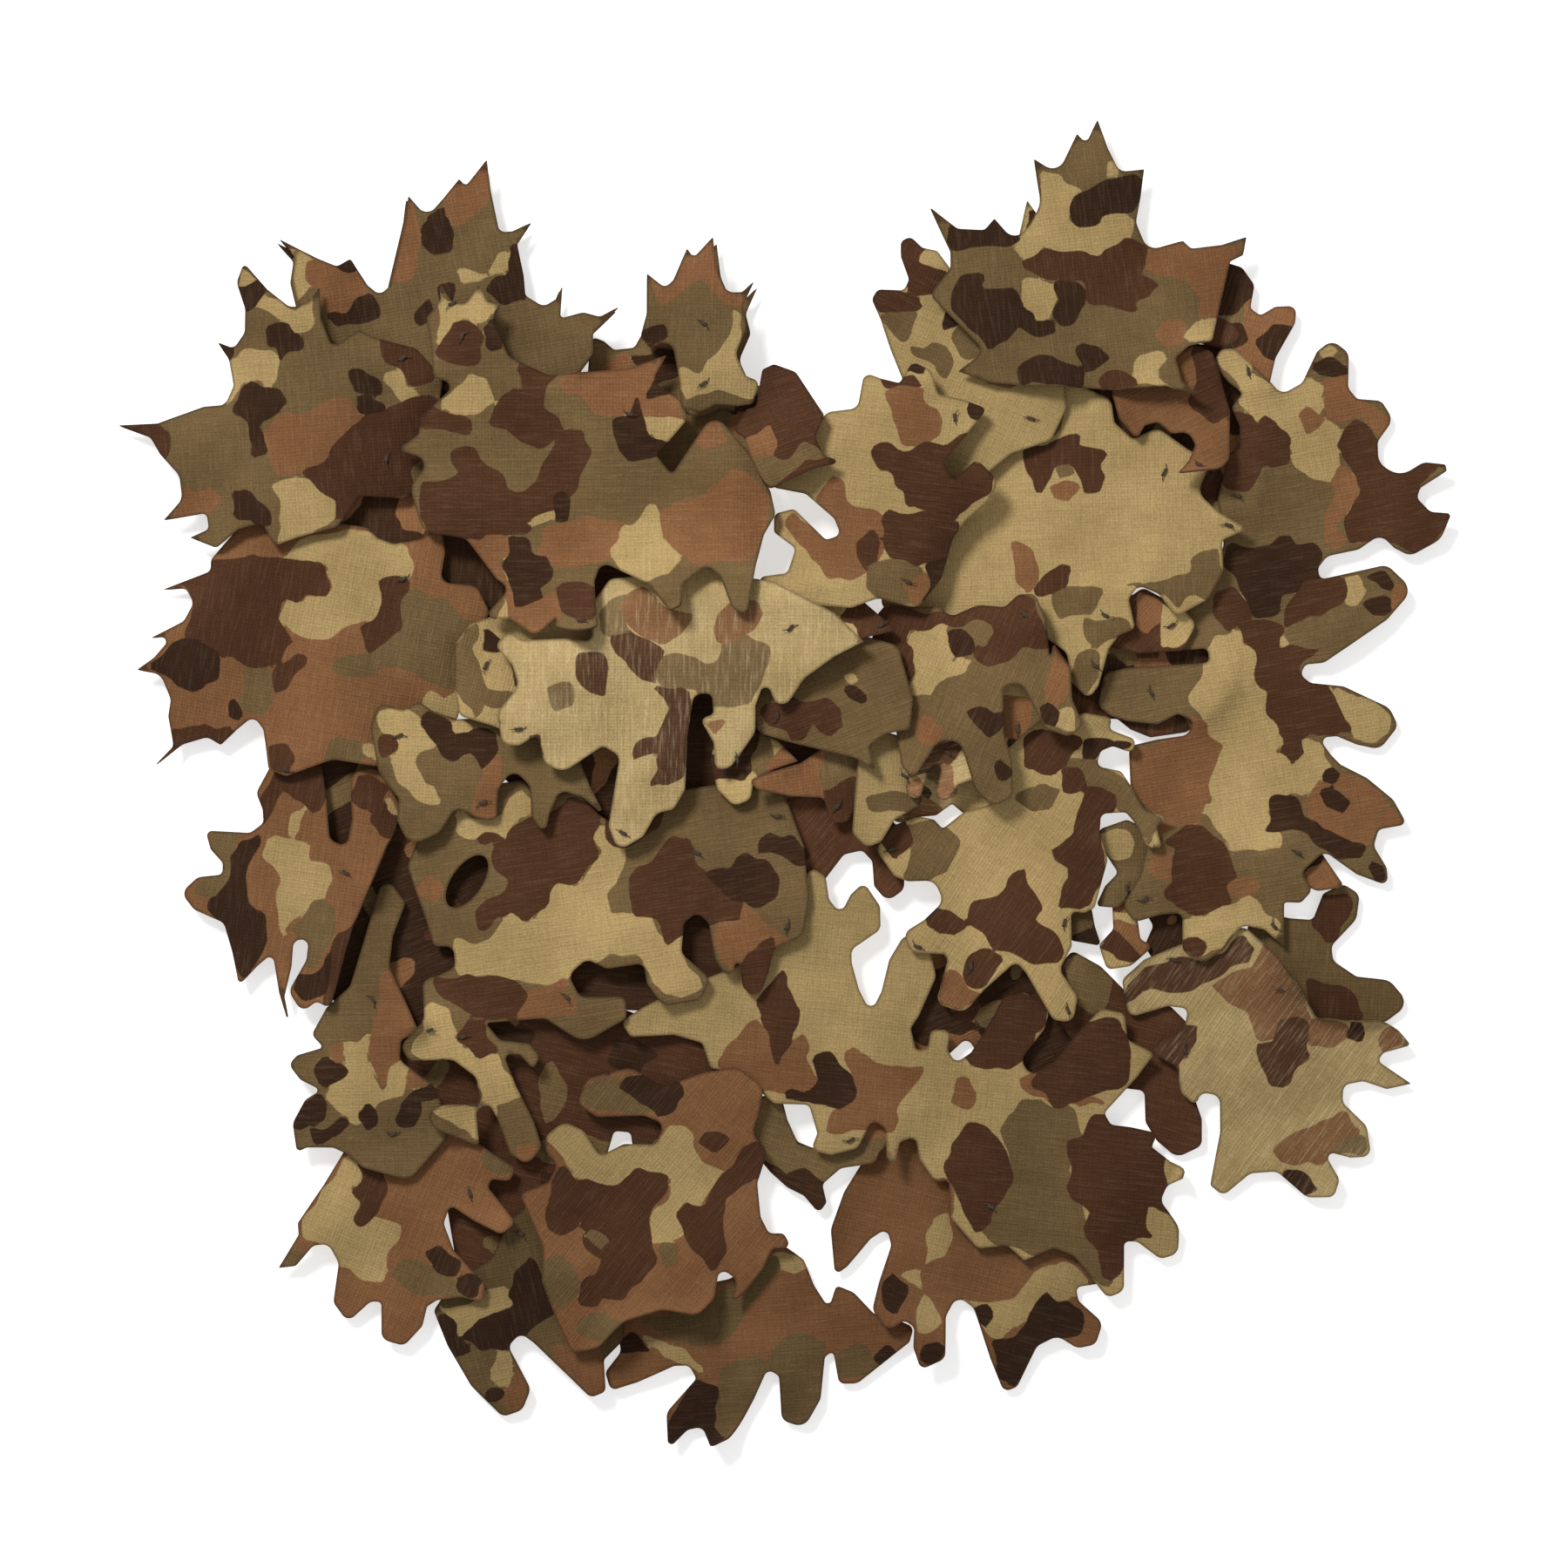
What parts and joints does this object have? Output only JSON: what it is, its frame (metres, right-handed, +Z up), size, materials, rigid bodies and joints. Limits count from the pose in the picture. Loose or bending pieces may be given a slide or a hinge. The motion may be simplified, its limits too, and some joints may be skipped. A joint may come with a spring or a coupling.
{
  "type": "leafy camouflage face mask",
  "caption": "Leafy camouflage face mask of overlapping die-cut cloth leaves tacked together over an elastic head band, lying flat.",
  "frame": {"origin": "centre of the underside of the mask as it lies flat on a table", "axes": "+X across the face to the viewer's right, +Y from the neck to the forehead, +Z up out of the leaves"},
  "size_m": [0.3994, 0.3995, 0.0271],
  "materials": {
    "camo_leaf": "matt printed woven cloth in tan, olive, rust and dark brown",
    "camo_wrong_side": "matt streaky wrong side of the printed cloth",
    "elastic_band": "ribbed woven elastic",
    "keeper_plastic": "moulded matt plastic",
    "tack_thread": "twisted sewing thread"
  },
  "bodies": {
    "mask": {"big_left": "camo_leaf", "bottom_centre": "camo_leaf", "bottom_right": "camo_leaf", "brown_spike": "camo_leaf", "crown_left": "camo_leaf", "crown_left_double": "camo_leaf", "crown_right_back": "camo_leaf", "deep_brown": "camo_leaf", "fan_tan": "camo_leaf", "far_left": "camo_leaf", "gap_brown": "camo_leaf", "gap_chip": "camo_leaf", "gap_dark": "camo_leaf", "gap_olive": "camo_leaf", "gap_tan": "camo_leaf", "grey_lobe": "camo_leaf", "head_band": "elastic_band", "knuckle": "camo_leaf", "left_centre": "camo_leaf", "left_column": "camo_leaf", "left_inner": "camo_leaf", "left_low": "camo_leaf", "left_middle": "camo_leaf", "low_centre": "camo_leaf", "low_left": "camo_leaf", "low_left_tail": "camo_leaf", "maple_top": "camo_leaf", "maple_top_double": "camo_leaf", "notch_filler": "camo_leaf", "notch_olive": "camo_leaf", "oak_behind_crown": "camo_leaf", "oak_brown_centre": "camo_leaf", "oak_by_notch": "camo_leaf", "oak_centre_right": "camo_leaf", "oak_lobe_right": "camo_leaf", "oak_right_long": "camo_leaf", "oak_rust_right": "camo_leaf", "oak_under_crown": "camo_leaf", "olive_mid": "camo_leaf", "pale_lobe": "camo_wrong_side", "right_behind": "camo_leaf", "right_chip": "camo_leaf", "right_low": "camo_wrong_side", "rust_tongue": "camo_leaf", "slot_tan": "camo_leaf", "spike_tan": "camo_leaf", "streak_leaf": "camo_wrong_side", "tack_threads": "tack_thread", "tan_inner": "camo_leaf", "under_centre": "camo_leaf", "under_left_low": "camo_leaf", "under_left_top": "camo_leaf", "under_low_right": "camo_leaf", "under_mid_right": "camo_leaf", "under_pale": "camo_wrong_side", "under_right": "camo_leaf"},
    "crown_flap": {"crown_right": "camo_leaf"},
    "curl_flap": {"dark_curl": "camo_leaf"},
    "chin_flap": {"low_centre_left": "camo_leaf"},
    "keeper": {"band_keeper": "keeper_plastic"}
  },
  "joints": [
    {"name": "crown_flap_lift", "type": "hinge", "parent": "mask", "child": "crown_flap", "pos_m": [0.09, 0.1148, 0.0098], "axis": [1, 0, 0], "range_deg": [0, 40]},
    {"name": "curl_flap_lift", "type": "hinge", "parent": "mask", "child": "curl_flap", "pos_m": [-0.0152, 0.107, 0.0266], "axis": [0, -1, 0], "range_deg": [0, 50]},
    {"name": "chin_flap_lift", "type": "hinge", "parent": "mask", "child": "chin_flap", "pos_m": [-0.038, -0.084, 0.0084], "axis": [-1, 0, 0], "range_deg": [0, 40]},
    {"name": "keeper_slide", "type": "slide", "parent": "mask", "child": "keeper", "axis": [1, 0, 0], "range_m": [-0.08, 0.08]}
  ]
}
